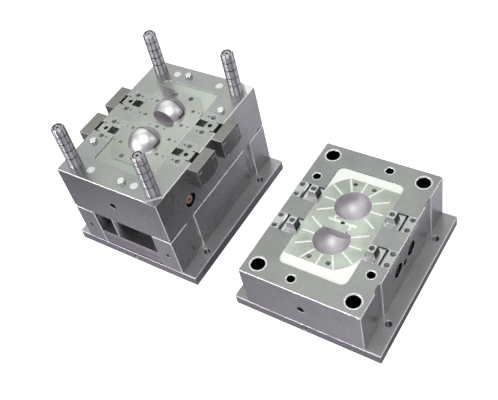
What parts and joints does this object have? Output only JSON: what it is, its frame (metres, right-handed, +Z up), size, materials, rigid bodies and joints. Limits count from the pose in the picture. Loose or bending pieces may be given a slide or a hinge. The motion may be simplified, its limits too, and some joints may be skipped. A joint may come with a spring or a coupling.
{
  "type": "die casting mould",
  "caption": "Die casting mould opened into ejector and cover halves, with ball cores, bowl cavities, guide pins, sliding side cores, locking heels and an ejector plate set.",
  "frame": {"origin": "on the floor, midway between the two halves, at the middle of the overall length and width", "axes": "+Z up out of the parting faces, +X from the ejector half to the cover half, +Y along the plates away from the near end"},
  "size_m": [0.922, 0.45, 0.428],
  "materials": {
    "plate_steel": "ground tool steel, satin",
    "block_steel": "milled steel, satin",
    "slide_steel": "ground hardened steel",
    "hardened_strip": "ground hardened steel",
    "insert_steel": "fine ground hot-work steel",
    "polished_core": "mirror polished",
    "polished_pin": "ground and polished",
    "bush_steel": "ground",
    "pin_steel": "nitrided",
    "screw_steel": "blackened",
    "inner_steel": "turned",
    "brass_fitting": "turned brass"
  },
  "bodies": {
    "mould": {"ball_core_far": "polished_core", "ball_core_near": "polished_core", "cavity_insert": "insert_steel", "cavity_insert_screws": "screw_steel", "cavity_plate": "plate_steel", "core_insert": "insert_steel", "core_insert_screws": "screw_steel", "core_plate": "plate_steel", "cover_clamp_plate": "plate_steel", "cover_clamp_screws": "screw_steel", "ejector_clamp_plate": "plate_steel", "ejector_clamp_screws": "screw_steel", "guide_bush_far_left": "bush_steel", "guide_bush_far_right": "bush_steel", "guide_bush_near_left": "bush_steel", "guide_bush_near_right": "bush_steel", "guide_pin_far_left": "polished_pin", "guide_pin_far_right": "polished_pin", "guide_pin_near_left": "polished_pin", "guide_pin_near_right": "polished_pin", "heel_screws": "screw_steel", "locating_bushes": "bush_steel", "locating_pins": "polished_pin", "locking_heel_far_left": "slide_steel", "locking_heel_far_right": "slide_steel", "locking_heel_near_left": "slide_steel", "locking_heel_near_right": "slide_steel", "rest_buttons": "inner_steel", "slide_strips_far_left": "hardened_strip", "slide_strips_far_right": "hardened_strip", "slide_strips_near_left": "hardened_strip", "slide_strips_near_right": "hardened_strip", "spacer_block_left": "plate_steel", "spacer_block_right": "plate_steel", "sprue_bush": "inner_steel", "stop_block_far_left": "block_steel", "stop_block_far_right": "block_steel", "stop_block_near_left": "block_steel", "stop_block_near_right": "block_steel", "stop_block_screws": "screw_steel", "strip_dowels": "screw_steel", "strip_screws": "screw_steel", "support_pillars": "inner_steel", "water_fittings": "brass_fitting", "wear_plate_far_left": "hardened_strip", "wear_plate_far_right": "hardened_strip", "wear_plate_near_left": "hardened_strip", "wear_plate_near_right": "hardened_strip", "wear_plate_screws": "screw_steel"},
    "ejector_plates": {"ejector_base_plate": "plate_steel", "ejector_retainer_plate": "plate_steel", "return_pins": "polished_pin", "ejector_pins": "pin_steel", "small_ejector_pins": "pin_steel", "runner_ejector_pins": "pin_steel", "ejector_plate_screws": "screw_steel"},
    "side_slide_far_left": {"slide_far_left": "slide_steel"},
    "side_slide_far_right": {"slide_far_right": "slide_steel"},
    "side_slide_near_left": {"slide_near_left": "slide_steel"},
    "side_slide_near_right": {"slide_near_right": "slide_steel"}
  },
  "joints": [
    {"name": "ejector_stroke", "type": "slide", "parent": "mould", "child": "ejector_plates", "axis": [0, 0, 1], "range_m": [0, 0.06]},
    {"name": "slide_stroke_far_left", "type": "slide", "parent": "mould", "child": "side_slide_far_left", "axis": [-1, 0, 0], "range_m": [0, 0.01]},
    {"name": "slide_stroke_far_right", "type": "slide", "parent": "mould", "child": "side_slide_far_right", "axis": [1, 0, 0], "range_m": [0, 0.01]},
    {"name": "slide_stroke_near_left", "type": "slide", "parent": "mould", "child": "side_slide_near_left", "axis": [-1, 0, 0], "range_m": [0, 0.01]},
    {"name": "slide_stroke_near_right", "type": "slide", "parent": "mould", "child": "side_slide_near_right", "axis": [1, 0, 0], "range_m": [0, 0.01]}
  ]
}
